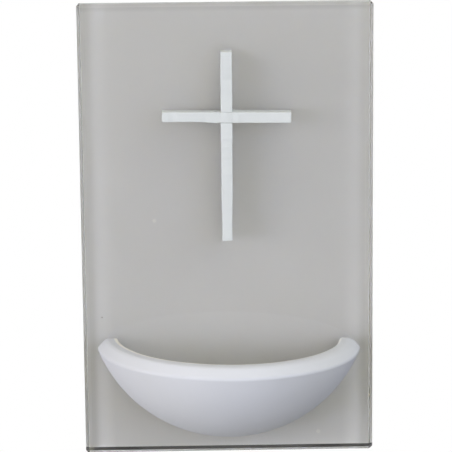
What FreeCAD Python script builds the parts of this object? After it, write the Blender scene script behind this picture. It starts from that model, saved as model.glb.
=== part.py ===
import FreeCAD, Part
import Sketcher

import math
import os

# Wall-hung holy water stoup: a back-coloured glass plate carries a two-bar cross and a half
# bowl on its front, and a keyhole hanger and two wall buffers on its back.
#
# Frame, in millimetres: the origin is the centre of the hanging hole, in the plane of the wall.
# +Z is up, +Y points into the wall and -Y towards the user.

# Driving dimensions: name, value in millimetres, what it measures.
SIZES = (
    ("plate_width", 100.0, "glass plate, side to side"),
    ("plate_height", 156.6, "glass plate, bottom edge to top edge"),
    ("glass_thickness", 6.0, "glass plate, front face to rear face"),
    ("arris_width", 1.0, "polished bevel along every edge of the glass"),
    ("corner_clip", 1.2, "corner of the glass cut off at 45 degrees"),
    ("coat_thickness", 0.2, "colour coat on the rear face of the glass"),
    ("coat_setback", 0.05, "bare glass between the coat and the arris"),
    ("hole_below_top", 38.0, "top edge of the glass to the hanging hole"),
    ("steel_thickness", 1.0, "hanger sheet"),
    ("bridge_height", 3.6, "step of the hanger from its flanges out to its bridge"),
    ("bridge_width", 20.0, "raised middle of the hanger, over its bends"),
    ("flange_width", 12.0, "flat wing of the hanger, from the step outwards"),
    ("hanger_above_hole", 20.0, "hanging hole to the top edge of the hanger"),
    ("hanger_below_hole", 14.0, "hanging hole to the bottom edge of the hanger"),
    ("bend_radius", 0.5, "inside radius of the hanger's bends"),
    ("hole_diameter", 9.0, "hanging hole that the screw head passes"),
    ("slot_width", 4.6, "slot that the screw shank slides up"),
    ("slot_rise", 9.0, "centre of the hanging hole to the centre of the slot's round end"),
    ("tape_thickness", 1.0, "foam tape between the hanger and the coat"),
    ("tape_setback", 0.5, "tape edge inside the flange edge"),
    ("buffer_diameter", 10.0, "wall buffer"),
    ("buffer_from_side", 12.0, "side edge of the glass to the buffer's centre"),
    ("buffer_from_bottom", 12.0, "bottom edge of the glass to the buffer's centre"),
    ("buffer_round", 0.8, "rounding of the buffer's wall end"),
    ("bowl_radius", 49.0, "outer sphere of the bowl"),
    ("bowl_wall", 7.6, "wall of the bowl, sphere to sphere"),
    ("rim_below_centre", 14.6, "centre of both spheres down to the flat of the rim"),
    ("bevel_height", 3.3, "outer bevel of the rim, upwards"),
    ("bevel_width", 3.0, "outer bevel of the rim, inwards"),
    ("bowl_projection", 42.4, "front of the glass to the foremost point of the bowl"),
    ("bowl_from_bottom", 6.4, "bottom edge of the glass to the lowest point of the outer sphere"),
    ("lip_round", 1.5, "inner edge of the rim"),
    ("bevel_round", 0.8, "edge between the bevel and the flat of the rim"),
    ("crease_round", 0.8, "edge between the bevel and the outer sphere"),
    ("bowl_bond_thickness", 0.3, "clear adhesive between the bowl and the glass"),
    ("bowl_bond_setback", 0.5, "adhesive edge inside the bowl's edge"),
    ("upright_width", 3.7, "upright of the cross, side to side"),
    ("upright_length", 64.6, "upright of the cross, foot to top"),
    ("arm_height", 3.4, "arm of the cross, lower face to upper face"),
    ("arm_length", 43.6, "arm of the cross, end to end"),
    ("bar_depth", 5.4, "both cross bars, front to back"),
    ("arm_drop", 22.1, "top of the upright to the middle of the arm"),
    ("cross_below_top", 15.7, "top edge of the glass to the top of the cross"),
    ("lap_clearance", 0.05, "gap on each side of a bar in the halving joint"),
    ("bar_round", 0.2, "softened long edges of the cross bars"),
    ("cross_bond_thickness", 0.2, "clear adhesive between the cross and the glass"),
    ("cross_bond_setback", 0.4, "adhesive edge inside the bars' edges"),
)

# Places worked out from the driving dimensions, as expressions of the sheet.
COAT_REAR = "-(Sizes.bridge_height + Sizes.steel_thickness + Sizes.tape_thickness)"
GLASS_REAR = f"({COAT_REAR} - Sizes.coat_thickness)"
GLASS_FRONT = f"({GLASS_REAR} - Sizes.glass_thickness)"
GLASS_TOP = "Sizes.hole_below_top"
GLASS_BOTTOM = "(Sizes.hole_below_top - Sizes.plate_height)"

CROSS_LEVEL = "(Sizes.hole_below_top - Sizes.cross_below_top - Sizes.arm_drop)"
CROSS_REAR = f"({GLASS_FRONT} - Sizes.cross_bond_thickness)"
UPRIGHT_BELOW_ARM = "(Sizes.upright_length - Sizes.arm_drop)"
NOTCH_IN_UPRIGHT = "(Sizes.arm_height / 2 + Sizes.lap_clearance)"
NOTCH_IN_ARM = "(Sizes.upright_width / 2 + Sizes.lap_clearance)"

CREASE_BELOW_CENTRE = "(Sizes.rim_below_centre + Sizes.bevel_height)"
CREASE_RADIUS = f"sqrt(Sizes.bowl_radius ^ 2 - {CREASE_BELOW_CENTRE} ^ 2)"
BOWL_AXIS_BEHIND_GLASS = f"({CREASE_RADIUS} - Sizes.bowl_projection)"
BOWL_AXIS_Y = f"({GLASS_FRONT} + {BOWL_AXIS_BEHIND_GLASS})"
BOWL_CENTRE_Z = f"({GLASS_BOTTOM} + Sizes.bowl_from_bottom + Sizes.bowl_radius)"

# How far a measured direction or volume, or an edge's place in millimetres, may be off.
TINY = 1e-6
PLACE_TOLERANCE = 1e-4

# How far a cutting shape reaches past what it cuts, in millimetres.
CUT_MARGIN = 5.0

X_AXIS = FreeCAD.Vector(1, 0, 0)
Z_AXIS = FreeCAD.Vector(0, 0, 1)


def make_sheet(doc):
    """The spreadsheet that holds the driving dimensions."""
    sheet = doc.addObject("Spreadsheet::Sheet", "Sizes")
    for row, (name, value, note) in enumerate(SIZES, start=1):
        sheet.set(f"A{row}", name)
        sheet.set(f"B{row}", str(value))
        sheet.set(f"C{row}", note)
        sheet.setAlias(f"B{row}", name)
    doc.recompute()
    return sheet


def number(doc, expression):
    """Present value of an expression of the sheet."""
    return float(doc.getObject("Sizes").evalExpression(expression))


def new_body(doc, label, place=()):
    """A body named as its node, placed by three expressions of the sheet."""
    body = doc.addObject("PartDesign::Body", label)
    body.Label = label
    for axis, expression in zip("xyz", place):
        if expression:
            body.setExpression(f"Placement.Base.{axis}", expression)
    return body


def new_sketch(body, name, plane, lift=None):
    """A sketch on one of the body's own origin planes, lifted along the plane's normal."""
    sketch = body.newObject("Sketcher::SketchObject", name)
    planes = [item for item in body.Origin.OriginFeatures if item.Role == plane]
    sketch.AttachmentSupport = (planes[0], [""])
    sketch.MapMode = "FlatFace"
    if lift:
        sketch.setExpression("AttachmentOffset.Base.z", lift)
    return sketch


def bind(sketch, kind, *arguments):
    """Adds a dimension whose value is the expression given last."""
    *points, expression = arguments
    value = number(sketch.Document, expression)
    index = sketch.addConstraint(Sketcher.Constraint(kind, *points, value))
    sketch.setExpression(f"Constraints[{index}]", expression)


def hold(sketch, kind, *arguments):
    """Adds a geometric constraint that has no value."""
    sketch.addConstraint(Sketcher.Constraint(kind, *arguments))


def draw_outline(sketch, corners):
    """A closed polygon. Each corner is two expressions of the sheet, or None on an axis."""
    doc = sketch.Document
    points = [
        FreeCAD.Vector(*(number(doc, item) if item else 0.0 for item in corner), 0.0)
        for corner in corners
    ]
    first = sketch.GeometryCount
    count = len(points)
    for start, end in zip(points, points[1:] + points[:1]):
        sketch.addGeometry(Part.LineSegment(start, end))
    for step, (across, up) in enumerate(corners):
        line = first + step
        hold(sketch, "Coincident", first + (step - 1) % count, 2, line, 1)
        if across:
            bind(sketch, "DistanceX", -1, 1, line, 1, across)
        else:
            hold(sketch, "PointOnObject", line, 1, -2)
        if up:
            bind(sketch, "DistanceY", -1, 1, line, 1, up)
        else:
            hold(sketch, "PointOnObject", line, 1, -1)


def rectangle(left, right, low, high):
    """Corners of an upright rectangle for draw_outline."""
    return ((left, low), (right, low), (right, high), (left, high))


def facing(sketch):
    """Direction that a sketch's own Z axis takes in the model."""
    return sketch.getGlobalPlacement().Rotation.multVec(Z_AXIS)


def pad(body, sketch, length, midplane=False, towards=None):
    """Extrudes a sketch. towards is the global direction that the pad has to take."""
    feature = body.newObject("PartDesign::Pad", sketch.Name + "_pad")
    feature.Profile = sketch
    feature.setExpression("Length", length)
    feature.Midplane = midplane
    sketch.Visibility = False
    body.Document.recompute()
    if towards:
        feature.Reversed = facing(sketch).dot(FreeCAD.Vector(*towards)) < 0
        body.Document.recompute()
    return feature


def pocket(body, sketch, length, towards):
    """Cuts a sketch into the body in a global direction, and makes sure that it removes material."""
    before = body.Shape.Volume
    feature = body.newObject("PartDesign::Pocket", sketch.Name + "_pocket")
    feature.Profile = sketch
    feature.setExpression("Length", length)
    sketch.Visibility = False
    feature.Reversed = facing(sketch).dot(FreeCAD.Vector(*towards)) > 0
    body.Document.recompute()
    if body.Shape.Volume > before - TINY:
        raise RuntimeError(f"{feature.Name} removes nothing from {body.Label}")
    return feature


def dress(body, kind, name, size_property, size, wanted):
    """Rounds or chamfers the edges of the body's tip for which wanted(edge) is true."""
    base = body.Tip
    edges = [
        f"Edge{index}" for index, edge in enumerate(base.Shape.Edges, start=1) if wanted(edge)
    ]
    if not edges:
        raise RuntimeError(f"{name} finds no edge on {body.Label}")
    feature = body.newObject(f"PartDesign::{kind}", name)
    feature.Base = (base, edges)
    feature.setExpression(size_property, size)
    body.Document.recompute()
    return feature


def runs_along(edge, axis):
    """True for a straight edge parallel to the axis number given."""
    if not isinstance(edge.Curve, Part.Line):
        return False
    return abs(abs(edge.Curve.Direction[axis]) - 1.0) < TINY


def lies_at(edge, axis, value):
    """True for an edge that lies wholly in the plane where a coordinate has a value."""
    ends = [vertex.Point[axis] for vertex in edge.Vertexes]
    ends.append(edge.CenterOfMass[axis])
    return all(abs(end - value) < PLACE_TOLERANCE for end in ends)


def ring_of(edge, radius, height):
    """True for a level circular edge round the body's own Z axis."""
    if edge.Degenerated or not isinstance(edge.Curve, Part.Circle):
        return False
    centre = edge.Curve.Center
    misses = (edge.Curve.Radius - radius, centre.z - height, centre.x)
    return all(abs(miss) < PLACE_TOLERANCE for miss in misses)


def clip_corners(body, name):
    """Cuts off the four corners of a rectangular plate, edge after edge along Y."""
    dress(
        body, "Chamfer", name, "Size", "Sizes.corner_clip",
        lambda edge: runs_along(edge, 1),
    )


def make_glass_plate(doc):
    """Clear plate with clipped corners and a polished arris round both faces."""
    body = new_body(doc, "glass_plate", (None, GLASS_REAR, GLASS_TOP))
    sketch = new_sketch(body, "glass_outline", "XZ_Plane")
    half = "Sizes.plate_width / 2"
    draw_outline(sketch, rectangle(f"-{half}", half, "-Sizes.plate_height", None))
    pad(body, sketch, "Sizes.glass_thickness", towards=(0, -1, 0))
    clip_corners(body, "corner_clips")
    front = -number(doc, "Sizes.glass_thickness")
    dress(
        body, "Chamfer", "arrises", "Size", "Sizes.arris_width",
        lambda edge: lies_at(edge, 1, 0.0) or lies_at(edge, 1, front),
    )
    return body


def make_rear_colour_coat(doc):
    """Thin opaque coat on the rear face, clear of the arris."""
    body = new_body(doc, "rear_colour_coat", (None, COAT_REAR, GLASS_TOP))
    sketch = new_sketch(body, "coat_outline", "XZ_Plane")
    inset = "(Sizes.arris_width + Sizes.coat_setback)"
    half = f"(Sizes.plate_width / 2 - {inset})"
    draw_outline(
        sketch,
        rectangle(f"-{half}", half, f"-(Sizes.plate_height - {inset})", f"-{inset}"),
    )
    pad(body, sketch, "Sizes.coat_thickness", towards=(0, -1, 0))
    clip_corners(body, "coat_clips")
    return body


def draw_bowl_profile(sketch, outer, inner, rim, bevel_up, bevel_in):
    """Half section of the bowl about the sketch's vertical axis, spheres centred on the origin."""
    doc = sketch.Document
    outer_radius = number(doc, outer)
    inner_radius = number(doc, inner)
    rim_level = -number(doc, rim)
    crease_level = rim_level - number(doc, bevel_up)
    crease = FreeCAD.Vector(math.sqrt(outer_radius ** 2 - crease_level ** 2), crease_level, 0)
    corner = FreeCAD.Vector(crease.x - number(doc, bevel_in), rim_level, 0)
    lip = FreeCAD.Vector(math.sqrt(inner_radius ** 2 - rim_level ** 2), rim_level, 0)
    origin = FreeCAD.Vector(0, 0, 0)
    lowest = -math.pi / 2
    outer_arc, bevel, flat, inner_arc, axis = range(5)
    outer_circle = Part.Circle(origin, Z_AXIS, outer_radius)
    inner_circle = Part.Circle(origin, Z_AXIS, inner_radius)
    sketch.addGeometry(Part.ArcOfCircle(outer_circle, lowest, -crease.getAngle(X_AXIS)))
    sketch.addGeometry(Part.LineSegment(crease, corner))
    sketch.addGeometry(Part.LineSegment(corner, lip))
    sketch.addGeometry(Part.ArcOfCircle(inner_circle, lowest, -lip.getAngle(X_AXIS)))
    inner_low = FreeCAD.Vector(0, -inner_radius, 0)
    outer_low = FreeCAD.Vector(0, -outer_radius, 0)
    sketch.addGeometry(Part.LineSegment(inner_low, outer_low))
    hold(sketch, "Coincident", outer_arc, 3, -1, 1)
    hold(sketch, "Coincident", inner_arc, 3, -1, 1)
    hold(sketch, "Coincident", outer_arc, 2, bevel, 1)
    hold(sketch, "Coincident", bevel, 2, flat, 1)
    hold(sketch, "Coincident", flat, 2, inner_arc, 2)
    hold(sketch, "Coincident", inner_arc, 1, axis, 1)
    hold(sketch, "Coincident", outer_arc, 1, axis, 2)
    hold(sketch, "PointOnObject", outer_arc, 1, -2)
    hold(sketch, "PointOnObject", inner_arc, 1, -2)
    hold(sketch, "Horizontal", flat)
    bind(sketch, "Radius", outer_arc, outer)
    bind(sketch, "Radius", inner_arc, inner)
    bind(sketch, "DistanceY", flat, 1, -1, 1, rim)
    bind(sketch, "DistanceY", bevel, 1, bevel, 2, bevel_up)
    bind(sketch, "DistanceX", bevel, 2, bevel, 1, bevel_in)


def revolve(body, sketch):
    """Full turn of a sketch about its vertical axis."""
    feature = body.newObject("PartDesign::Revolution", sketch.Name + "_turn")
    feature.Profile = sketch
    feature.ReferenceAxis = (sketch, ["V_Axis"])
    feature.Angle = 360.0
    sketch.Visibility = False
    body.Document.recompute()
    return feature


def cut_away_behind(body, name, plane_y):
    """Removes all of a bowl-shaped body that lies behind a plane facing the wall."""
    reach = f"(Sizes.bowl_radius + {CUT_MARGIN})"
    sketch = new_sketch(body, name, "XY_Plane")
    draw_outline(sketch, rectangle(f"-{reach}", reach, plane_y, reach))
    pocket(body, sketch, reach, towards=(0, 0, -1))


def make_bowl(doc):
    """Half bowl: a thick spherical shell with a bevelled rim, cut flat where it meets the glass."""
    body = new_body(doc, "bowl", (None, BOWL_AXIS_Y, BOWL_CENTRE_Z))
    sketch = new_sketch(body, "bowl_profile", "XZ_Plane")
    inner = "(Sizes.bowl_radius - Sizes.bowl_wall)"
    draw_bowl_profile(
        sketch, "Sizes.bowl_radius", inner, "Sizes.rim_below_centre",
        "Sizes.bevel_height", "Sizes.bevel_width",
    )
    revolve(body, sketch)
    rim_level = -number(doc, "Sizes.rim_below_centre")
    crease_radius = number(doc, CREASE_RADIUS)
    crease_level = -number(doc, CREASE_BELOW_CENTRE)
    corner_radius = crease_radius - number(doc, "Sizes.bevel_width")
    lip_radius = math.sqrt(number(doc, inner) ** 2 - rim_level ** 2)
    dress(
        body, "Fillet", "lip_rounding", "Radius", "Sizes.lip_round",
        lambda edge: ring_of(edge, lip_radius, rim_level),
    )
    dress(
        body, "Fillet", "bevel_rounding", "Radius", "Sizes.bevel_round",
        lambda edge: ring_of(edge, corner_radius, rim_level),
    )
    dress(
        body, "Fillet", "crease_rounding", "Radius", "Sizes.crease_round",
        lambda edge: ring_of(edge, crease_radius, crease_level),
    )
    cut_away_behind(body, "bowl_cut", f"-({BOWL_AXIS_BEHIND_GLASS} + Sizes.bowl_bond_thickness)")
    return body


def make_bowl_bond(doc):
    """Clear adhesive between the cut face of the bowl and the glass, a little inside its edges."""
    body = new_body(doc, "bowl_bond", (None, BOWL_AXIS_Y, BOWL_CENTRE_Z))
    sketch = new_sketch(body, "bond_profile", "XZ_Plane")
    draw_bowl_profile(
        sketch,
        "(Sizes.bowl_radius - Sizes.bowl_bond_setback)",
        "(Sizes.bowl_radius - Sizes.bowl_wall + Sizes.bowl_bond_setback)",
        "(Sizes.rim_below_centre + Sizes.bowl_bond_setback)",
        "Sizes.bevel_height",
        "Sizes.bevel_width",
    )
    revolve(body, sketch)
    cut_away_behind(body, "bond_rear_cut", f"-{BOWL_AXIS_BEHIND_GLASS}")
    reach = f"(Sizes.bowl_radius + {CUT_MARGIN})"
    front = new_sketch(body, "bond_front_cut", "XY_Plane")
    bowl_face = f"-({BOWL_AXIS_BEHIND_GLASS} + Sizes.bowl_bond_thickness)"
    draw_outline(front, rectangle(f"-{reach}", reach, f"-{reach}", bowl_face))
    pocket(body, front, reach, towards=(0, 0, -1))
    return body


def make_cross_upright(doc):
    """Upright bar, halved from the front where the arm lies in it."""
    body = new_body(doc, "cross_upright", (None, CROSS_REAR, CROSS_LEVEL))
    sketch = new_sketch(body, "upright_side", "YZ_Plane")
    front = "-Sizes.bar_depth"
    middle = "-Sizes.bar_depth / 2"
    foot = f"-{UPRIGHT_BELOW_ARM}"
    draw_outline(sketch, (
        (None, foot),
        (None, "Sizes.arm_drop"),
        (front, "Sizes.arm_drop"),
        (front, NOTCH_IN_UPRIGHT),
        (middle, NOTCH_IN_UPRIGHT),
        (middle, f"-{NOTCH_IN_UPRIGHT}"),
        (front, f"-{NOTCH_IN_UPRIGHT}"),
        (front, foot),
    ))
    pad(body, sketch, "Sizes.upright_width", midplane=True)
    face = -number(doc, "Sizes.bar_depth")
    dress(
        body, "Fillet", "upright_edges", "Radius", "Sizes.bar_round",
        lambda edge: runs_along(edge, 2) and lies_at(edge, 1, face),
    )
    return body


def make_cross_arm(doc):
    """Level bar, halved from the back so that its front lies flush with the upright's."""
    body = new_body(doc, "cross_arm", (None, CROSS_REAR, CROSS_LEVEL))
    sketch = new_sketch(body, "arm_plan", "XY_Plane")
    end = "Sizes.arm_length / 2"
    front = "-Sizes.bar_depth"
    middle = "-Sizes.bar_depth / 2"
    draw_outline(sketch, (
        (f"-{end}", None),
        (f"-{end}", front),
        (end, front),
        (end, None),
        (NOTCH_IN_ARM, None),
        (NOTCH_IN_ARM, middle),
        (f"-{NOTCH_IN_ARM}", middle),
        (f"-{NOTCH_IN_ARM}", None),
    ))
    pad(body, sketch, "Sizes.arm_height", midplane=True)
    face = -number(doc, "Sizes.bar_depth")
    dress(
        body, "Fillet", "arm_edges", "Radius", "Sizes.bar_round",
        lambda edge: runs_along(edge, 0) and lies_at(edge, 1, face),
    )
    return body


def make_cross_bond(doc):
    """Clear adhesive behind both bars, a little inside their edges."""
    body = new_body(doc, "cross_bond", (None, GLASS_FRONT, CROSS_LEVEL))
    sketch = new_sketch(body, "cross_bond_outline", "XZ_Plane")
    inset = "Sizes.cross_bond_setback"
    side = f"(Sizes.upright_width / 2 - {inset})"
    level = f"(Sizes.arm_height / 2 - {inset})"
    reach = f"(Sizes.arm_length / 2 - {inset})"
    top = f"(Sizes.arm_drop - {inset})"
    foot = f"-({UPRIGHT_BELOW_ARM} - {inset})"
    draw_outline(sketch, (
        (f"-{side}", foot),
        (side, foot),
        (side, f"-{level}"),
        (reach, f"-{level}"),
        (reach, level),
        (side, level),
        (side, top),
        (f"-{side}", top),
        (f"-{side}", level),
        (f"-{reach}", level),
        (f"-{reach}", f"-{level}"),
        (f"-{side}", f"-{level}"),
    ))
    pad(body, sketch, "Sizes.cross_bond_thickness", towards=(0, -1, 0))
    return body


def draw_keyhole(sketch):
    """Round hole on the origin with a round-ended slot rising from it."""
    doc = sketch.Document
    hole_radius = number(doc, "Sizes.hole_diameter") / 2
    slot_half = number(doc, "Sizes.slot_width") / 2
    rise = number(doc, "Sizes.slot_rise")
    shoulder = math.sqrt(hole_radius ** 2 - slot_half ** 2)
    opening = math.atan2(shoulder, slot_half)
    hole_circle = Part.Circle(FreeCAD.Vector(0, 0, 0), Z_AXIS, hole_radius)
    end_circle = Part.Circle(FreeCAD.Vector(0, rise, 0), Z_AXIS, slot_half)
    hole, end, left_side, right_side = range(4)
    sketch.addGeometry(Part.ArcOfCircle(hole_circle, math.pi - opening, 2 * math.pi + opening))
    sketch.addGeometry(Part.ArcOfCircle(end_circle, 0.0, math.pi))
    for side in (-slot_half, slot_half):
        low_end = FreeCAD.Vector(side, shoulder, 0)
        high_end = FreeCAD.Vector(side, rise, 0)
        sketch.addGeometry(Part.LineSegment(low_end, high_end))
    hold(sketch, "Coincident", hole, 3, -1, 1)
    hold(sketch, "PointOnObject", end, 3, -2)
    hold(sketch, "Coincident", hole, 1, left_side, 1)
    hold(sketch, "Coincident", hole, 2, right_side, 1)
    hold(sketch, "Tangent", end, 2, left_side, 2)
    hold(sketch, "Tangent", end, 1, right_side, 2)
    hold(sketch, "Vertical", left_side)
    hold(sketch, "Vertical", right_side)
    bind(sketch, "Diameter", hole, "Sizes.hole_diameter")
    bind(sketch, "Radius", end, "Sizes.slot_width / 2")
    bind(sketch, "DistanceY", -1, 1, end, 3, "Sizes.slot_rise")


def make_hanger_plate(doc):
    """Bent steel strip: two flanges taped to the plate and a raised bridge with a keyhole."""
    body = new_body(doc, "hanger_plate")
    sketch = new_sketch(body, "hanger_section", "XY_Plane", "-Sizes.hanger_below_hole")
    outside = "Sizes.bridge_width / 2"
    inside = "(Sizes.bridge_width / 2 - Sizes.steel_thickness)"
    wing = "(Sizes.bridge_width / 2 + Sizes.flange_width)"
    flange_rear = "-Sizes.bridge_height"
    flange_front = "-(Sizes.bridge_height + Sizes.steel_thickness)"
    bridge_front = "-Sizes.steel_thickness"
    draw_outline(sketch, (
        (f"-{wing}", flange_rear),
        (f"-{outside}", flange_rear),
        (f"-{outside}", None),
        (outside, None),
        (outside, flange_rear),
        (wing, flange_rear),
        (wing, flange_front),
        (inside, flange_front),
        (inside, bridge_front),
        (f"-{inside}", bridge_front),
        (f"-{inside}", flange_front),
        (f"-{wing}", flange_front),
    ))
    pad(body, sketch, "Sizes.hanger_below_hole + Sizes.hanger_above_hole", towards=(0, 0, 1))
    outer_x = number(doc, outside)
    inner_x = number(doc, inside)
    flange_rear_y = number(doc, flange_rear)
    flange_front_y = number(doc, flange_front)
    bridge_front_y = number(doc, bridge_front)

    def is_bend(edge, across, level):
        """True for the upright edges at one distance from the middle and one level."""
        if not runs_along(edge, 2):
            return False
        point = edge.CenterOfMass
        misses = (abs(point.x) - across, point.y - level)
        return all(abs(miss) < PLACE_TOLERANCE for miss in misses)

    dress(
        body, "Fillet", "inside_bends", "Radius", "Sizes.bend_radius",
        lambda edge: is_bend(edge, outer_x, flange_rear_y) or is_bend(edge, inner_x, bridge_front_y),
    )
    dress(
        body, "Fillet", "outside_bends", "Radius", "Sizes.bend_radius + Sizes.steel_thickness",
        lambda edge: is_bend(edge, outer_x, 0.0) or is_bend(edge, inner_x, flange_front_y),
    )
    keyhole = new_sketch(body, "keyhole", "XZ_Plane")
    draw_keyhole(keyhole)
    pocket(body, keyhole, "Sizes.steel_thickness", towards=(0, -1, 0))
    return body


def make_hanger_tape(doc, side_name, side):
    """Foam tape under one flange of the hanger."""
    body = new_body(doc, f"hanger_tape_{side_name}", (None, COAT_REAR, None))
    sketch = new_sketch(body, f"tape_{side_name}_outline", "XZ_Plane")
    near = "(Sizes.bridge_width / 2 + Sizes.tape_setback)"
    far = "(Sizes.bridge_width / 2 + Sizes.flange_width - Sizes.tape_setback)"
    low = "-(Sizes.hanger_below_hole - Sizes.tape_setback)"
    high = "(Sizes.hanger_above_hole - Sizes.tape_setback)"
    left, right = (near, far) if side > 0 else (f"-{far}", f"-{near}")
    draw_outline(sketch, rectangle(left, right, low, high))
    pad(body, sketch, "Sizes.tape_thickness", towards=(0, 1, 0))
    return body


def make_wall_buffer(doc, side_name, side):
    """Soft disc that keeps a lower corner of the plate off the wall."""
    sideways = f"{side} * (Sizes.plate_width / 2 - Sizes.buffer_from_side)"
    level = f"{GLASS_BOTTOM} + Sizes.buffer_from_bottom"
    body = new_body(doc, f"wall_buffer_{side_name}", (sideways, COAT_REAR, level))
    sketch = new_sketch(body, f"buffer_{side_name}_outline", "XZ_Plane")
    radius = number(doc, "Sizes.buffer_diameter") / 2
    sketch.addGeometry(Part.Circle(FreeCAD.Vector(0, 0, 0), Z_AXIS, radius))
    hold(sketch, "Coincident", 0, 3, -1, 1)
    bind(sketch, "Diameter", 0, "Sizes.buffer_diameter")
    pad(body, sketch, f"-{COAT_REAR}", towards=(0, 1, 0))
    wall_end = -number(doc, COAT_REAR)
    dress(
        body, "Fillet", f"buffer_{side_name}_rounding", "Radius", "Sizes.buffer_round",
        lambda edge: lies_at(edge, 1, wall_end),
    )
    return body


def check_document(doc, bodies):
    """Stops if a feature failed or a sub-part isn't one valid solid."""
    failed = [item.Name for item in doc.Objects if {"Invalid", "Error"} & set(item.State)]
    if failed:
        raise RuntimeError("failed: " + ", ".join(failed))
    for body in bodies:
        shape = body.Shape
        if shape.isNull() or not shape.isValid() or len(shape.Solids) != 1:
            raise RuntimeError(f"{body.Label} is not one valid solid")


def main():
    doc = FreeCAD.newDocument("holy_water_stoup")
    make_sheet(doc)
    bodies = [
        make_glass_plate(doc),
        make_rear_colour_coat(doc),
        make_bowl(doc),
        make_bowl_bond(doc),
        make_cross_upright(doc),
        make_cross_arm(doc),
        make_cross_bond(doc),
        make_hanger_plate(doc),
    ]
    for side_name, side in (("left", -1), ("right", 1)):
        bodies.append(make_hanger_tape(doc, side_name, side))
        bodies.append(make_wall_buffer(doc, side_name, side))
    doc.recompute()
    check_document(doc, bodies)
    os.makedirs("parts", exist_ok=True)
    for body in bodies:
        body.Shape.exportStep(os.path.join("parts", body.Label + ".step"))
        box = body.Shape.optimalBoundingBox()
        print(
            f"{body.Label}: {body.Shape.Volume:.1f} mm3, "
            f"x {box.XMin:.2f}..{box.XMax:.2f}, y {box.YMin:.2f}..{box.YMax:.2f}, "
            f"z {box.ZMin:.2f}..{box.ZMax:.2f}"
        )


main()
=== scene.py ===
import math

import bmesh
import bpy
from mathutils import Matrix, Vector


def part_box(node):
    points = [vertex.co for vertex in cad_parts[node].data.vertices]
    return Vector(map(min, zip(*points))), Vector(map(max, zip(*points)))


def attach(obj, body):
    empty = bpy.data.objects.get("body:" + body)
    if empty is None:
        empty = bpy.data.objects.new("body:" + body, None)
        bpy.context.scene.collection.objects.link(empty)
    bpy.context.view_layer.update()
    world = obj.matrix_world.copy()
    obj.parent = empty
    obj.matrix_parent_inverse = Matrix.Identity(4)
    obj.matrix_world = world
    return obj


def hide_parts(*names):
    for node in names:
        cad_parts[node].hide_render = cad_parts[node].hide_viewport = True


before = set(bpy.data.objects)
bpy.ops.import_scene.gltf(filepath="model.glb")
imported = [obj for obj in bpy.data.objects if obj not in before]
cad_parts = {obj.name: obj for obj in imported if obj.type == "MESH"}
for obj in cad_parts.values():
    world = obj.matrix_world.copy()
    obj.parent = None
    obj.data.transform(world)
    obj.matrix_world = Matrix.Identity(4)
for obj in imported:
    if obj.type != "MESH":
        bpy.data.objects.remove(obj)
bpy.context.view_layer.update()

# Wall-hung holy water stoup. Lengths are in metres, +Z is up and -Y is towards the user.

BODY = "root"
MM = 0.001
SAME_LEVEL = 0.01 * MM  # corners nearer than this to a level lie on it

# ---------------------------------------------------------------------------
# Places that the other pieces are worked out from
# ---------------------------------------------------------------------------

glass_low, glass_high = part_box("glass_plate")
coat_low, coat_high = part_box("rear_colour_coat")
bowl_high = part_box("bowl")[1]
upright_low, upright_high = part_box("cross_upright")
arm_low, arm_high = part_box("cross_arm")
tape_low, tape_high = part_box("hanger_tape_left")
buffer_low, buffer_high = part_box("wall_buffer_left")

GLASS_FRONT = glass_low.y
GLASS_REAR = glass_high.y

# Bowl: two spheres with one centre, a flat rim and a bevel outside it.
BOWL_RADIUS = 49.0 * MM
BOWL_WALL = 7.6 * MM
RIM_BELOW_CENTRE = 14.6 * MM
BEVEL_HEIGHT = 3.3 * MM
BEVEL_WIDTH = 3.0 * MM
BOWL_PROJECTION = 42.4 * MM
CREASE_BELOW_CENTRE = RIM_BELOW_CENTRE + BEVEL_HEIGHT
CREASE_RADIUS = math.sqrt(BOWL_RADIUS ** 2 - CREASE_BELOW_CENTRE ** 2)
BOWL_CENTRE = Vector((
    0.0,
    GLASS_FRONT + CREASE_RADIUS - BOWL_PROJECTION,
    bowl_high.z + RIM_BELOW_CENTRE,
))

STICKY_DISC = 0.4 * MM  # pale adhesive disc that holds each rubber buffer

# As bonded by hand, the bowl and the cross sit a hair off their places and a little turned.
BOWL_SHIFT = (0.2 * MM, 0.0, 0.0)
BOWL_TURN = 0.011
CROSS_SHIFT = (0.07 * MM, 0.0, -0.1 * MM)
UPRIGHT_TURN = 0.0026
ARM_TURN = 0.0116


# ---------------------------------------------------------------------------
# Modelling helpers
# ---------------------------------------------------------------------------

def only(piece):
    """Deselects everything else and makes this piece the active one."""
    bpy.ops.object.select_all(action="DESELECT")
    piece.select_set(True)
    bpy.context.view_layer.objects.active = piece


def settle(name):
    """Names the object just added and puts its place, turn and size into its mesh."""
    piece = bpy.context.object
    piece.name = name
    piece.data.name = name
    bpy.ops.object.transform_apply(location=True, rotation=True, scale=True)
    return piece


def new_block(name, low, high):
    """A box primitive between two corners."""
    low, high = Vector(low), Vector(high)
    bpy.ops.object.select_all(action="DESELECT")
    bpy.ops.mesh.primitive_cube_add(size=1.0, location=(low + high) / 2, scale=high - low)
    return settle(name)


def open_edit(piece, kind):
    """Opens the piece in edit mode with nothing selected. kind is VERT, EDGE or FACE."""
    only(piece)
    bpy.ops.object.mode_set(mode="EDIT")
    bpy.ops.mesh.select_mode(type=kind)
    bpy.ops.mesh.select_all(action="DESELECT")


def close_edit():
    """Goes back to object mode."""
    bpy.ops.object.mode_set(mode="OBJECT")


def pick(piece, kind, wanted):
    """In edit mode, selects just the verts, edges or faces that wanted() takes."""
    bpy.ops.mesh.select_all(action="DESELECT")
    live = bmesh.from_edit_mesh(piece.data)
    for item in getattr(live, kind):
        if wanted(item):
            item.select_set(True)
    bmesh.update_edit_mesh(piece.data)


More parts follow.
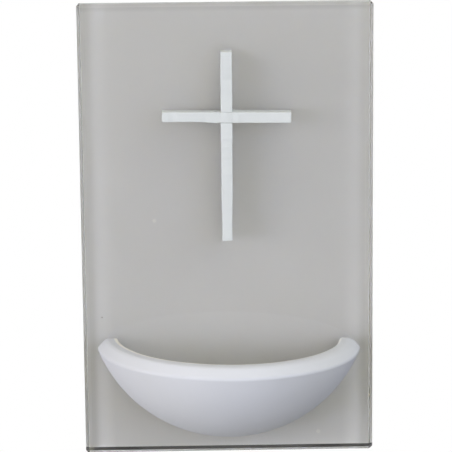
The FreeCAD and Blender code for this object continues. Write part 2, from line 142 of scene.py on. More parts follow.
def faces_towards(direction, within=None):
    """A test for faces whose normal points one way, and whose centre within() takes."""
    direction = Vector(direction)

    def wanted(face):
        if face.normal.dot(direction) < 0.9:
            return False
        return within is None or within(face.calc_center_median())

    return wanted


def runs_along(edge, axis):
    """True for an edge parallel to an axis number."""
    step = edge.verts[1].co - edge.verts[0].co
    return abs(step[axis]) > 0.999 * step.length


def push(distance):
    """Extrudes the selected faces and moves them by a vector."""
    bpy.ops.mesh.extrude_region_move(TRANSFORM_OT_translate={"value": distance})


def round_sharp_edges(piece, width, segments, angle=50.0):
    """Bevels each edge of the piece that turns by more than the angle."""
    open_edit(piece, "EDGE")
    bpy.ops.mesh.edges_select_sharp(sharpness=math.radians(angle))
    bpy.ops.mesh.bevel(offset=width, segments=segments, profile=0.5, clamp_overlap=True)
    close_edit()


def roughen(piece, name, strength, size):
    """Moves the surface in and out by a fine irregular amount, as hand work leaves it."""
    texture = bpy.data.textures.new(name, "CLOUDS")
    texture.noise_scale = size
    texture.noise_depth = 2
    only(piece)
    modifier = piece.modifiers.new(name, "DISPLACE")
    modifier.texture = texture
    modifier.texture_coords = "LOCAL"
    modifier.strength = strength
    modifier.mid_level = 0.5
    bpy.ops.object.modifier_apply(modifier=modifier.name)


def smooth(piece, angle=35.0):
    """Shades the piece smooth, except across edges that turn by more than the angle."""
    only(piece)
    bpy.ops.object.shade_smooth_by_angle(angle=math.radians(angle))


def keep_flats_flat(piece):
    """Lets the large faces set the shading, so that the roundings beside them stay narrow."""
    only(piece)
    modifier = piece.modifiers.new("flat_faces", "WEIGHTED_NORMAL")
    modifier.keep_sharp = True
    bpy.ops.object.modifier_apply(modifier=modifier.name)


def turn_in_plane(piece, centre, shift, angle):
    """Shifts a finished piece a little and turns it in the plane of the glass."""
    only(piece)
    about = Matrix.Translation(centre)
    turned = about @ Matrix.Rotation(angle, 4, "Y") @ about.inverted()
    piece.matrix_world = Matrix.Translation(shift) @ turned
    bpy.ops.object.transform_apply(location=True, rotation=True, scale=True)


def finish_piece(piece, material, slot, *replaced):
    """Dresses a new piece, sets it on the body and hides the nodes it stands for."""
    piece.data.materials.clear()
    piece.data.materials.append(material)
    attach(piece, BODY)
    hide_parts(*replaced)


# ---------------------------------------------------------------------------
# Material helpers
# ---------------------------------------------------------------------------

def new_group(name, inputs, outputs):
    """A node group with named sockets. Each input is (name, kind, default)."""
    group = bpy.data.node_groups.new(name, "ShaderNodeTree")
    for socket, kind, default in inputs:
        made = group.interface.new_socket(socket, in_out="INPUT", socket_type=kind)
        made.default_value = default
    for socket, kind in outputs:
        group.interface.new_socket(socket, in_out="OUTPUT", socket_type=kind)
    return group, group.nodes.new("NodeGroupInput"), group.nodes.new("NodeGroupOutput")


def node(tree, kind, settings=None, **values):
    """Adds a node. settings are its properties, values its plain input values."""
    made = tree.nodes.new(kind)
    for name, value in (settings or {}).items():
        setattr(made, name, value)
    for name, value in values.items():
        made.inputs[name.replace("_", " ")].default_value = value
    return made


def noise(tree, vector, scale, detail=3.0, roughness=0.55):
    """A noise value at a vector. scale is a socket or a plain number."""
    made = node(tree, "ShaderNodeTexNoise", Detail=detail, Roughness=roughness)
    tree.links.new(vector, made.inputs["Vector"])
    if isinstance(scale, float):
        made.inputs["Scale"].default_value = scale
    else:
        tree.links.new(scale, made.inputs["Scale"])
    return made.outputs["Fac"]


def math_node(tree, operation, first, second):
    """A Math node fed by sockets or plain numbers."""
    made = tree.nodes.new("ShaderNodeMath")
    made.operation = operation
    for index, value in enumerate((first, second)):
        if isinstance(value, (int, float)):
            made.inputs[index].default_value = value
        else:
            tree.links.new(value, made.inputs[index])
    return made.outputs[0]


def remap(tree, value, from_low, from_high, to_low, to_high):
    """A clamped Map Range node."""
    made = tree.nodes.new("ShaderNodeMapRange")
    limits = {"From Min": from_low, "From Max": from_high, "To Min": to_low, "To Max": to_high}
    for name, limit in limits.items():
        if isinstance(limit, (int, float)):
            made.inputs[name].default_value = limit
        else:
            tree.links.new(limit, made.inputs[name])
    tree.links.new(value, made.inputs["Value"])
    return made.outputs["Result"]


def spread(tree, value, low, high):
    """Stretches a noise value, which mostly lies between 0.3 and 0.7, over a range."""
    return remap(tree, value, 0.3, 0.7, low, high)


def hump(tree, value, start, full, fade, end):
    """0 up to start, 1 from full to fade, and 0 again from end."""
    rise = remap(tree, value, start, full, 0.0, 1.0)
    fall = remap(tree, value, fade, end, 1.0, 0.0)
    return math_node(tree, "MULTIPLY", rise, fall)


def mix_colour(tree, factor, first, second):
    """Goes from the first colour to the second as the factor goes from 0 to 1."""
    made = tree.nodes.new("ShaderNodeMix")
    made.data_type = "RGBA"
    tree.links.new(factor, made.inputs["Factor"])
    for name, value in (("A", first), ("B", second)):
        socket = next(item for item in made.inputs if item.name == name and item.type == "RGBA")
        if isinstance(value, bpy.types.NodeSocket):
            tree.links.new(value, socket)
        else:
            socket.default_value = (*value, 1.0)
    return next(item for item in made.outputs if item.type == "RGBA")


def scale_colour(tree, colour, amount):
    """Makes a colour paler or darker by an amount."""
    made = node(tree, "ShaderNodeVectorMath", {"operation": "SCALE"})
    tree.links.new(colour, made.inputs[0])
    tree.links.new(amount, made.inputs["Scale"])
    return made.outputs[0]


def split(tree, vector):
    """The X, Y and Z outputs of a vector."""
    parts = tree.nodes.new("ShaderNodeSeparateXYZ")
    tree.links.new(vector, parts.inputs["Vector"])
    return parts.outputs


def distance_from(tree, place, point):
    """How far each place on the surface is from one point."""
    made = node(tree, "ShaderNodeVectorMath", {"operation": "DISTANCE"})
    tree.links.new(place, made.inputs[0])
    made.inputs[1].default_value = point
    return made.outputs["Value"]


def make_cast_surface():
    """Group: the slight clouding, grain and pits of a cast or moulded surface."""
    group, given, result = new_group(
        "cast_surface",
        (
            ("Vector", "NodeSocketVector", (0.0, 0.0, 0.0)),
            ("Cloud Scale", "NodeSocketFloat", 40.0),
            ("Grain Scale", "NodeSocketFloat", 2500.0),
            ("Pit Scale", "NodeSocketFloat", 400.0),
            ("Pit Amount", "NodeSocketFloat", 0.3),
        ),
        (
            ("Cloud", "NodeSocketFloat"),
            ("Grain", "NodeSocketFloat"),
            ("Pits", "NodeSocketFloat"),
            ("Height", "NodeSocketFloat"),
        ),
    )
    place = given.outputs["Vector"]
    cloud = noise(group, place, given.outputs["Cloud Scale"], detail=2.0)
    grain = noise(group, place, given.outputs["Grain Scale"], detail=4.0, roughness=0.65)
    cells = group.nodes.new("ShaderNodeTexVoronoi")
    group.links.new(place, cells.inputs["Vector"])
    group.links.new(given.outputs["Pit Scale"], cells.inputs["Scale"])
    chosen = node(group, "ShaderNodeSeparateColor")
    group.links.new(cells.outputs["Color"], chosen.inputs["Color"])
    few = math_node(group, "LESS_THAN", chosen.outputs[0], given.outputs["Pit Amount"])
    dimple = remap(group, cells.outputs["Distance"], 0.05, 0.22, 1.0, 0.0)
    pits = math_node(group, "MULTIPLY", few, dimple)
    relief = math_node(group, "ADD", math_node(group, "MULTIPLY", cloud, 0.35), grain)
    height = math_node(group, "SUBTRACT", relief, math_node(group, "MULTIPLY", pits, 1.5))
    for name, value in (("Cloud", cloud), ("Grain", grain), ("Pits", pits), ("Height", height)):
        group.links.new(value, result.inputs[name])
    return group


def make_dust():
    """Group: sparse fine specks of dust, as a mask."""
    group, given, result = new_group(
        "dust_specks",
        (
            ("Vector", "NodeSocketVector", (0.0, 0.0, 0.0)),
            ("Scale", "NodeSocketFloat", 300.0),
            ("Amount", "NodeSocketFloat", 0.05),
            ("Size", "NodeSocketFloat", 0.12),
        ),
        (("Mask", "NodeSocketFloat"),),
    )
    cells = group.nodes.new("ShaderNodeTexVoronoi")
    group.links.new(given.outputs["Vector"], cells.inputs["Vector"])
    group.links.new(given.outputs["Scale"], cells.inputs["Scale"])
    parts = node(group, "ShaderNodeSeparateColor")
    group.links.new(cells.outputs["Color"], parts.inputs["Color"])
    few = math_node(group, "LESS_THAN", parts.outputs[0], given.outputs["Amount"])
    reach = math_node(group, "MULTIPLY", parts.outputs[1], given.outputs["Size"])
    near = math_node(group, "LESS_THAN", cells.outputs["Distance"], reach)
    group.links.new(math_node(group, "MULTIPLY", few, near), result.inputs["Mask"])
    return group


def new_material(name, **plain):
    """A material with its Principled shader, its tree and the object's own coordinates."""
    material = bpy.data.materials.new(name)
    material.use_nodes = True
    tree = material.node_tree
    shader = tree.nodes["Principled BSDF"]
    for socket, value in plain.items():
        shader.inputs[socket.replace("_", " ")].default_value = value
    place = tree.nodes.new("ShaderNodeTexCoord").outputs["Object"]
    return material, tree, shader, place


def use_group(tree, group, place, **values):
    """Places a node group in a material with its own values."""
    made = tree.nodes.new("ShaderNodeGroup")
    made.node_tree = group
    tree.links.new(place, made.inputs["Vector"])
    for name, value in values.items():
        made.inputs[name.replace("_", " ")].default_value = value
    return made


def bump(tree, shader, height, strength, distance):
    """Feeds a height to the shader's normal."""
    made = node(tree, "ShaderNodeBump", Strength=strength, Distance=distance)
    tree.links.new(height, made.inputs["Height"])
    tree.links.new(made.outputs["Normal"], shader.inputs["Normal"])


# ---------------------------------------------------------------------------
# Materials
# ---------------------------------------------------------------------------

DARK_FLECK = (-43.6 * MM, GLASS_REAR - 0.05 * MM, -70.9 * MM)
FLECK_CORE, FLECK_END = 0.12 * MM, 0.26 * MM

BOWL_TONE, BOWL_SHADE = (0.728, 0.75, 0.83), (0.713, 0.735, 0.815)
CROSS_TONE, CROSS_SHADE = (0.71, 0.745, 0.775), (0.695, 0.73, 0.76)
GLAZE = (0.90, 0.89, 0.87)
# Painted shade that greys the rim and its bevel a little.
PAINTED_RIM_SHADE = 0.96  # what the rim and its bevel keep of the white
LACQUER_TONE, LACQUER_SHADE = (0.837, 0.83, 0.837), (0.822, 0.815, 0.822)

# Painted light and shade: the lacquer is paler or darker in bands along the plate's edges.
# Bands of the lacquer, by how far in from the plate's edge each starts, is full, fades and ends.
PAINTED_SHADE_BAND = (1.3 * MM, 2.4 * MM, 3.3 * MM, 4.6 * MM)
PAINTED_LIGHT_BAND = (4.4 * MM, 5.8 * MM, 7.6 * MM, 10.5 * MM)
PAINTED_TOP_SHADE_BAND = (1.0 * MM, 1.5 * MM, 2.1 * MM, 3.2 * MM)
PAINTED_SHADE_DEPTH, PAINTED_LIGHT_DEPTH, PAINTED_TOP_SHADE_DEPTH = 0.05, 0.034, 0.07
# The painted side bands grow towards the foot of the plate.
BANDS_GROWN, BANDS_PLAIN = -95.0 * MM, -50.0 * MM
BANDS_GROWTH = 2.4
FOAM_HALF = 0.42 * MM  # foam each side of a tape's middle, with a film of adhesive past it

CAST_SURFACE = make_cast_surface()
DUST = make_dust()


def glaze_and_rim_shade(tree, place, colour):
    """A whiter glaze inside the bowl, and painted shade that makes the rim and its bevel a little
    greyer.
    """
    height = split(tree, place)["Z"]
    crease = BOWL_CENTRE.z - CREASE_BELOW_CENTRE
    # Painted shade above the crease: the rim and its bevel are greyed a little.
    rim_shade = remap(tree, height, crease - 0.3 * MM, crease + 0.3 * MM, 1.0, PAINTED_RIM_SHADE)
    rim = scale_colour(tree, colour, rim_shade)
    from_centre = distance_from(tree, place, BOWL_CENTRE)
    inner = BOWL_RADIUS - BOWL_WALL
    inside = remap(tree, from_centre, inner + 0.4 * MM, inner + 0.9 * MM, 1.0, 0.0)
    return mix_colour(tree, inside, rim, GLAZE)


def matte_white_cast(name, body_colour, shade_colour, roughness, finish=None):
    """White cast body with a fine dry surface, a few pin pits and faint clouding."""
    material, tree, shader, place = new_material(name, Specular_IOR_Level=0.35)
    cast = use_group(
        tree, CAST_SURFACE, place,
        Cloud_Scale=55.0, Grain_Scale=3200.0, Pit_Scale=350.0, Pit_Amount=0.02,
    )
    tone = spread(tree, cast.outputs["Cloud"], 0.0, 1.0)
    colour = mix_colour(tree, tone, body_colour, shade_colour)
    pitted = mix_colour(tree, cast.outputs["Pits"], colour, tuple(0.8 * c for c in shade_colour))
    if finish:
        pitted = finish(tree, place, pitted)
    tree.links.new(pitted, shader.inputs["Base Color"])
    rough = spread(tree, cast.outputs["Grain"], roughness - 0.06, roughness + 0.06)
    tree.links.new(rough, shader.inputs["Roughness"])
    bump(tree, shader, cast.outputs["Height"], 0.25, 0.03 * MM)
    return material


def polished_glass():
    """Low-iron float glass, with hardly visible polishing marks and dust."""
    material, tree, shader, place = new_material(
        "polished_glass", IOR=1.5, Transmission_Weight=1.0, Specular_IOR_Level=0.5,
    )
    cloud = noise(tree, place, 30.0, detail=2.0)
    tint = mix_colour(tree, cloud, (0.985, 1.0, 0.992), (0.995, 1.0, 0.997))
    tree.links.new(tint, shader.inputs["Base Color"])
    tree.links.new(remap(tree, cloud, 0.4, 0.8, 0.0, 0.012), shader.inputs["Roughness"])
    return material


def painted_edge_light(tree, place, colour):
    """Painted shade in a band just inside the plate's side edges and along its top, and painted
    light in a band beside the side ones. This painted light and shade stands in part for light
    that enters through the sides of the glass, which the render shows too softly."""
    where = split(tree, place)
    across = math_node(tree, "ABSOLUTE", where["X"], 0.0)
    from_side = math_node(tree, "SUBTRACT", glass_high.x, across)
    from_top = math_node(tree, "SUBTRACT", glass_high.z, where["Z"])
    paler = math_node(tree, "MULTIPLY", hump(tree, from_side, *PAINTED_LIGHT_BAND), PAINTED_LIGHT_DEPTH)
    darker = math_node(tree, "MULTIPLY", hump(tree, from_side, *PAINTED_SHADE_BAND), PAINTED_SHADE_DEPTH)
    painted_top_shade = math_node(tree, "MULTIPLY", hump(tree, from_top, *PAINTED_TOP_SHADE_BAND), PAINTED_TOP_SHADE_DEPTH)
    growth = remap(tree, where["Z"], BANDS_GROWN, BANDS_PLAIN, BANDS_GROWTH, 1.0)
    change = math_node(tree, "MULTIPLY", math_node(tree, "SUBTRACT", paler, darker), growth)
    change = math_node(tree, "SUBTRACT", change, painted_top_shade)
    return scale_colour(tree, colour, math_node(tree, "ADD", change, 1.0))


def grey_lacquer():
    """Opaque warm light grey lacquer, with a faint spray mottle, pale specks, one fleck and
    painted light and shade in bands along its edges.
    """
    material, tree, shader, place = new_material("grey_lacquer", Specular_IOR_Level=0.3)
    cast = use_group(
        tree, CAST_SURFACE, place,
        Cloud_Scale=35.0, Grain_Scale=900.0, Pit_Scale=300.0, Pit_Amount=0.0,
    )
    tone = spread(tree, cast.outputs["Cloud"], 0.0, 1.0)
    colour = mix_colour(tree, tone, LACQUER_TONE, LACQUER_SHADE)
    specks = use_group(tree, DUST, place, Scale=160.0, Amount=0.03, Size=0.14)
    spotted = mix_colour(tree, specks.outputs["Mask"], colour, (0.92, 0.91, 0.90))
    from_fleck = distance_from(tree, place, DARK_FLECK)
    fleck = remap(tree, from_fleck, FLECK_CORE, FLECK_END, 1.0, 0.0)
    spotted = mix_colour(tree, fleck, spotted, (0.30, 0.24, 0.20))
    # The colour takes painted light and shade in bands along the plate's edges.
    tree.links.new(painted_edge_light(tree, place, spotted), shader.inputs["Base Color"])
    rough = spread(tree, cast.outputs["Grain"], 0.42, 0.55)
    tree.links.new(rough, shader.inputs["Roughness"])
    bump(tree, shader, cast.outputs["Height"], 0.15, 0.02 * MM)
    return material


def cured_adhesive():
    """Milky cured adhesive."""
    material, tree, shader, place = new_material("cured_adhesive", Specular_IOR_Level=0.5)
    cloud = noise(tree, place, 600.0)
    colour = mix_colour(tree, cloud, (0.66, 0.66, 0.64), (0.74, 0.74, 0.72))
    tree.links.new(colour, shader.inputs["Base Color"])
    tree.links.new(spread(tree, cloud, 0.18, 0.3), shader.inputs["Roughness"])
    bump(tree, shader, cloud, 0.3, 0.05 * MM)
    return material


def zinc_plate():
    """Bright zinc on rolled steel strip: fine rolling lines and a cloudy passivated film."""
    material, tree, shader, place = new_material("zinc_plate", Metallic=1.0)
    stretched = node(tree, "ShaderNodeMapping", Scale=(1.0, 1.0, 0.02))
    tree.links.new(place, stretched.inputs["Vector"])
    lines = noise(tree, stretched.outputs["Vector"], 5000.0, detail=2.0)
    film = noise(tree, place, 220.0, detail=4.0)
    colour = mix_colour(tree, film, (0.60, 0.61, 0.63), (0.72, 0.725, 0.72))
    tree.links.new(colour, shader.inputs["Base Color"])
    dull = math_node(tree, "MULTIPLY", film, 0.15)
    rough = math_node(tree, "ADD", spread(tree, lines, 0.16, 0.30), dull)
    tree.links.new(rough, shader.inputs["Roughness"])
    bump(tree, shader, lines, 0.2, 0.01 * MM)
    return material


def white_foam():
    """Closed-cell foam with open pores on its cut edges, between two films of adhesive."""
    material, tree, shader, place = new_material("white_foam", Specular_IOR_Level=0.2)
    cast = use_group(
        tree, CAST_SURFACE, place,
        Cloud_Scale=200.0, Grain_Scale=5000.0, Pit_Scale=4200.0, Pit_Amount=0.6,
    )
    foam = mix_colour(tree, cast.outputs["Pits"], (0.80, 0.80, 0.77), (0.55, 0.55, 0.52))
    middle = (tape_low.y + tape_high.y) / 2
    from_middle = math_node(tree, "SUBTRACT", split(tree, place)["Y"], middle)
    depth = math_node(tree, "ABSOLUTE", from_middle, 0.0)
    film = math_node(tree, "GREATER_THAN", depth, FOAM_HALF)
    tree.links.new(mix_colour(tree, film, foam, (0.88, 0.87, 0.80)), shader.inputs["Base Color"])
    rough = spread(tree, cast.outputs["Cloud"], 0.75, 0.9)
    sticky = math_node(tree, "MULTIPLY", film, 0.45)
    tree.links.new(math_node(tree, "SUBTRACT", rough, sticky), shader.inputs["Roughness"])
    bump(tree, shader, cast.outputs["Height"], 0.8, 0.06 * MM)
    return material


def dark_rubber():
    """Moulded black rubber with a soft bloom, on a pale sticky disc."""
    material, tree, shader, place = new_material("dark_rubber", Specular_IOR_Level=0.4)
    cast = use_group(
        tree, CAST_SURFACE, place,
        Cloud_Scale=260.0, Grain_Scale=4000.0, Pit_Scale=900.0, Pit_Amount=0.05,
    )
    bloom = remap(tree, cast.outputs["Cloud"], 0.35, 0.75, 0.0, 1.0)
    rubber = mix_colour(tree, bloom, (0.022, 0.022, 0.023), (0.045, 0.045, 0.044))
    disc = math_node(tree, "LESS_THAN", split(tree, place)["Y"], buffer_low.y + STICKY_DISC)
    tree.links.new(mix_colour(tree, disc, rubber, (0.50, 0.49, 0.45)), shader.inputs["Base Color"])
    rough = spread(tree, cast.outputs["Grain"], 0.5, 0.7)
    tree.links.new(rough, shader.inputs["Roughness"])
    bump(tree, shader, cast.outputs["Height"], 0.4, 0.03 * MM)
    return material


GLASS = polished_glass()
LACQUER = grey_lacquer()
BOWL_WHITE = matte_white_cast("bowl_white", BOWL_TONE, BOWL_SHADE, 0.55, glaze_and_rim_shade)
CROSS_WHITE = matte_white_cast("cross_white", CROSS_TONE, CROSS_SHADE, 0.6)
ADHESIVE = cured_adhesive()
ZINC = zinc_plate()
FOAM = white_foam()
RUBBER = dark_rubber()


# ---------------------------------------------------------------------------
# Bowl
# ---------------------------------------------------------------------------

SPHERE_SEGMENTS, SPHERE_RINGS = 144, 72
ON_RING = 0.05 * MM  # vertices nearer than this to a ring belong to it
ON_CUT = 0.001 * MM
RIM_ROUNDING = 2.2 * MM
CUT_EDGE_ROUND = 0.25 * MM
BOWL_UNEVENNESS = (0.12 * MM, 14.0 * MM)  # depth and size


def half_shell(name, radius, level):
    """The part of a sphere about the bowl's centre that lies below a level."""
    bpy.ops.object.select_all(action="DESELECT")
    bpy.ops.mesh.primitive_uv_sphere_add(
        segments=SPHERE_SEGMENTS, ring_count=SPHERE_RINGS, radius=radius, location=BOWL_CENTRE,
    )
    shell = settle(name)
    open_edit(shell, "FACE")
    bpy.ops.mesh.select_all(action="SELECT")
    bpy.ops.mesh.bisect(plane_co=(0.0, 0.0, level), plane_no=(0.0, 0.0, 1.0), clear_outer=True)
    close_edit()
    return shell


def on_ring(vertex, radius, level):
    """True for a vertex on a level ring about the bowl's axis."""
    across = Vector((vertex.co.x - BOWL_CENTRE.x, vertex.co.y - BOWL_CENTRE.y, 0.0)).length
    return abs(across - radius) < ON_RING and abs(vertex.co.z - level) < ON_RING


def ring_test(radius, level):
    """A test for an edge's two ends, true when both lie on a level ring."""
    return lambda ends: all(on_ring(vertex, radius, level) for vertex in ends)


def make_bowl():
    """Thick half bowl: outer and inner shell, joined by a flat rim with a bevel outside."""
    rim_level = BOWL_CENTRE.z - RIM_BELOW_CENTRE
    crease_level = BOWL_CENTRE.z - CREASE_BELOW_CENTRE
    inner_radius = BOWL_RADIUS - BOWL_WALL
    corner_radius = CREASE_RADIUS - BEVEL_WIDTH
    lip_radius = math.sqrt(inner_radius ** 2 - RIM_BELOW_CENTRE ** 2)

    bowl = half_shell("half_bowl", BOWL_RADIUS, crease_level)
    inside = half_shell("bowl_inside", inner_radius, rim_level)
    open_edit(inside, "FACE")
    bpy.ops.mesh.select_all(action="SELECT")
    bpy.ops.mesh.flip_normals()
    close_edit()
    only(bowl)
    inside.select_set(True)
    bpy.ops.object.join()

    crease = ring_test(CREASE_RADIUS, crease_level)
    corner = ring_test(corner_radius, rim_level)
    lip = ring_test(lip_radius, rim_level)
    open_edit(bowl, "EDGE")
    pick(bowl, "edges", lambda edge: crease(edge.verts))
    bpy.ops.mesh.extrude_region_move(
        TRANSFORM_OT_translate={"value": (0.0, 0.0, BEVEL_HEIGHT)}
    )
    shrink = corner_radius / CREASE_RADIUS
    bpy.ops.transform.resize(
        value=(shrink, shrink, 1.0), center_override=(BOWL_CENTRE.x, BOWL_CENTRE.y, rim_level)
    )
    pick(bowl, "edges", lambda edge: corner(edge.verts) or lip(edge.verts))
    bpy.ops.mesh.bridge_edge_loops()
    close_edit()

    round_rim(bowl, (
        (crease, 0.35, 0.35),
        (corner, 0.45, 0.95),
        (lip, 0.15, 0.45),
    ))

    cut_y = bowl_high.y
    open_edit(bowl, "FACE")
    bpy.ops.mesh.select_all(action="SELECT")
    bpy.ops.mesh.bisect(
        plane_co=(0.0, cut_y, 0.0), plane_no=(0.0, 1.0, 0.0), use_fill=True, clear_outer=True,
    )
    bpy.ops.mesh.select_mode(type="EDGE")
    pick(bowl, "edges", lambda edge: all(abs(v.co.y - cut_y) < ON_CUT for v in edge.verts))
    bpy.ops.mesh.bevel(offset=CUT_EDGE_ROUND, segments=2, profile=0.5)
    close_edit()
    roughen(bowl, "bowl_unevenness", *BOWL_UNEVENNESS)
    smooth(bowl)
    keep_flats_flat(bowl)
    turn_in_plane(bowl, (0.0, 0.0, crease_level), BOWL_SHIFT, BOWL_TURN)
    finish_piece(bowl, BOWL_WHITE, "white_ceramic", "bowl")


def round_rim(bowl, rings):
    """Rounds each ring of edges by its shares of the full rounding at the left and right end.
    Hand finishing has left the left end crisper than the right."""
    weights = bowl.data.attributes.new("bevel_weight_edge", "FLOAT", "EDGE")
    for edge in bowl.data.edges:
        ends = [bowl.data.vertices[index] for index in edge.vertices]
        for is_ring, left_share, right_share in rings:
            if not is_ring(ends):
                continue
            across = (ends[0].co.x + ends[1].co.x) / 2 - BOWL_CENTRE.x
            share = min(1.0, max(0.0, 0.5 + across / (2 * CREASE_RADIUS)))
            weights.data[edge.index].value = left_share + (right_share - left_share) * share ** 3
    only(bowl)
    modifier = bowl.modifiers.new("rim_rounding", "BEVEL")
    modifier.limit_method = "WEIGHT"
    modifier.width = RIM_ROUNDING
    modifier.segments = 5
    bpy.ops.object.modifier_apply(modifier=modifier.name)


# ---------------------------------------------------------------------------
# Cross
# ---------------------------------------------------------------------------

BAR_ROUND = 0.14 * MM
BAR_SLICE = 0.6 * MM
BAR_UNEVENNESS = (0.16 * MM, 1.1 * MM)  # depth and size
NOTCH_CLEARANCE = 0.05 * MM
NOTCH_WIDENING = 1.05  # the upright is nowhere wider than this share of its CAD width
NIB_REACH = 0.35 * MM
NIB_HEIGHT = 0.22 * MM

# The upright was cut by hand: its share of the full width at places up its length.
UPRIGHT_WIDTHS = (
    (-42.3 * MM, 0.89),
    (-33.0 * MM, 0.93),
    (-27.0 * MM, 1.0),
    (-12.0 * MM, 1.0),
    (-5.0 * MM, 1.045),
    (22.3 * MM, 1.03),
)
# The arm's underside steps down a little towards its right half.
STEP_FROM, STEP_TO = -9.5 * MM, -4.0 * MM
LEFT_RISE, RIGHT_DROP = 0.1 * MM, 0.18 * MM


def cut_across(axis, place):
    """Cuts the open piece all round at a place along an axis, and keeps both sides."""
    normal = Vector((0.0, 0.0, 0.0))
    normal[axis] = 1.0
    bpy.ops.mesh.select_all(action="SELECT")
    bpy.ops.mesh.bisect(plane_co=normal * place, plane_no=normal)


def slice_along(piece, axis, step):
    """Cuts a bar into short lengths, so that its faces can be uneven."""
    low = min(vertex.co[axis] for vertex in piece.data.vertices)
    high = max(vertex.co[axis] for vertex in piece.data.vertices)
    count = int((high - low) / step)
    open_edit(piece, "FACE")
    for index in range(1, count):
        cut_across(axis, low + (high - low) * index / count)
    close_edit()


def share_at(widths, level):
    """The width share at a level, on straight lines between the given places."""
    for (low, low_share), (high, high_share) in zip(widths, widths[1:]):
        if level <= high:
            return low_share + (high_share - low_share) * (level - low) / (high - low)
    return widths[-1][1]


def set_widths(bar, widths):
    """Draws an upright bar in or out at each place, about its own centre line."""
    open_edit(bar, "VERT")
    for level, _ in widths[1:-1]:
        cut_across(2, level)
    levels = sorted({round(vertex.co.z, 6) for vertex in bmesh.from_edit_mesh(bar.data).verts})
    for level in levels:
        pick(bar, "verts", lambda vertex: abs(vertex.co.z - level) < SAME_LEVEL)
        bpy.ops.transform.resize(
            value=(share_at(widths, level), 1.0, 1.0), center_override=(0.0, 0.0, level)
        )
    close_edit()


def step_underside(arm):
    """Raises the arm's underside on the left and lowers it on the right of a short slope."""
    open_edit(arm, "VERT")
    for place in (STEP_FROM, STEP_TO):
        cut_across(0, place)
    for move, is_there in (
        (LEFT_RISE, lambda x: x < STEP_FROM + SAME_LEVEL),
        (-RIGHT_DROP, lambda x: x > STEP_TO - SAME_LEVEL),
    ):
        pick(arm, "verts", lambda vertex: (
            abs(vertex.co.z - arm_low.z) < SAME_LEVEL and is_there(vertex.co.x)))
        bpy.ops.transform.translate(value=(0.0, 0.0, move))
    close_edit()


def leave_nib(arm):
    """A crumb of dried glue on top of the arm, in the corner right of the upright."""
    open_edit(arm, "VERT")
    pick(arm, "verts", lambda vertex: (
        vertex.co.z > arm_high.z - 0.5 * MM
        and abs(vertex.co.x - upright_high.x - NIB_REACH) < NIB_REACH
        and vertex.co.y > arm_high.y - 1.0 * MM))
    bpy.ops.transform.translate(value=(0.0, 0.0, NIB_HEIGHT))
    close_edit()


def finish_bar(bar, axis, turn):
    """Softens a bar's edges, leaves its faces a little uneven and sets it on the glass."""
    round_sharp_edges(bar, BAR_ROUND, 2)
    slice_along(bar, axis, BAR_SLICE)
    roughen(bar, bar.name + "_unevenness", *BAR_UNEVENNESS)
    if axis == 0:
        leave_nib(bar)
    smooth(bar, 20.0)
    turn_in_plane(bar, (0.0, 0.0, (arm_low.z + arm_high.z) / 2), CROSS_SHIFT, turn)


def make_cross():
    """Two bars, halved into each other where they cross, with flush fronts."""
    front, rear = upright_low.y, upright_high.y
    halfway = (front + rear) / 2
    notch_low = arm_low.z - RIGHT_DROP - NOTCH_CLEARANCE
    notch_high = arm_high.z + NOTCH_CLEARANCE
    notch_left = upright_low.x * NOTCH_WIDENING - NOTCH_CLEARANCE
    notch_right = upright_high.x * NOTCH_WIDENING + NOTCH_CLEARANCE

    upright = new_block(
        "upright_bar", (upright_low.x, halfway, notch_low), (upright_high.x, rear, notch_high)
    )
    open_edit(upright, "FACE")
    pick(upright, "faces", faces_towards((0, 0, 1)))
    push((0.0, 0.0, upright_high.z - notch_high))
    pick(upright, "faces", faces_towards((0, 0, -1)))
    push((0.0, 0.0, upright_low.z - notch_low))
    pick(upright, "faces", faces_towards(
        (0, -1, 0), lambda centre: not notch_low < centre.z < notch_high))
    push((0.0, front - halfway, 0.0))
    close_edit()
    set_widths(upright, UPRIGHT_WIDTHS)
    finish_bar(upright, 2, UPRIGHT_TURN)
    finish_piece(upright, CROSS_WHITE, "white_ceramic", "cross_upright")

    arm = new_block("arm_bar", (notch_left, front, arm_low.z), (notch_right, halfway, arm_high.z))
    open_edit(arm, "FACE")
    pick(arm, "faces", faces_towards((1, 0, 0)))
    push((arm_high.x - notch_right, 0.0, 0.0))
    pick(arm, "faces", faces_towards((-1, 0, 0)))
    push((arm_low.x - notch_left, 0.0, 0.0))
    pick(arm, "faces", faces_towards(
        (0, 1, 0), lambda centre: not notch_left < centre.x < notch_right))
    push((0.0, rear - halfway, 0.0))
    close_edit()
    step_underside(arm)
    finish_bar(arm, 0, ARM_TURN)
    finish_piece(arm, CROSS_WHITE, "white_ceramic", "cross_arm")


# ---------------------------------------------------------------------------
# Glass and its coat
# ---------------------------------------------------------------------------

ARRIS = 1.0 * MM
# Corners of the sheet, each cut back by hand: left or right, up or down, length of the cut.
CORNER_CUTS = (
    (-1, 1, 0.55 * MM),
    (1, 1, 0.8 * MM),
    (-1, -1, 0.85 * MM),
    (1, -1, 1.15 * MM),
)
COAT_GRIP = 0.05 * MM  # how far the lacquer reaches into the glass
COAT_CORNER = 0.3 * MM


def make_glass():
    """Clear sheet with a polished arris along every edge and its corners nipped off."""
    glass = new_block("glass_sheet", glass_low, glass_high)
    open_edit(glass, "EDGE")
    pick(glass, "edges", lambda edge: not runs_along(edge, 1))
    bpy.ops.mesh.bevel(offset=ARRIS, segments=1)
    for side, end, cut in CORNER_CUTS:
        corner_x = (glass_high if side > 0 else glass_low).x
        corner_z = (glass_high if end > 0 else glass_low).z
        bpy.ops.mesh.select_all(action="SELECT")
        bpy.ops.mesh.bisect(
            plane_co=(corner_x - side * cut, 0.0, corner_z), plane_no=(side, 0.0, end),
            use_fill=True, clear_outer=True,
        )
    close_edit()
    finish_piece(glass, GLASS, "clear_glass", "glass_plate")


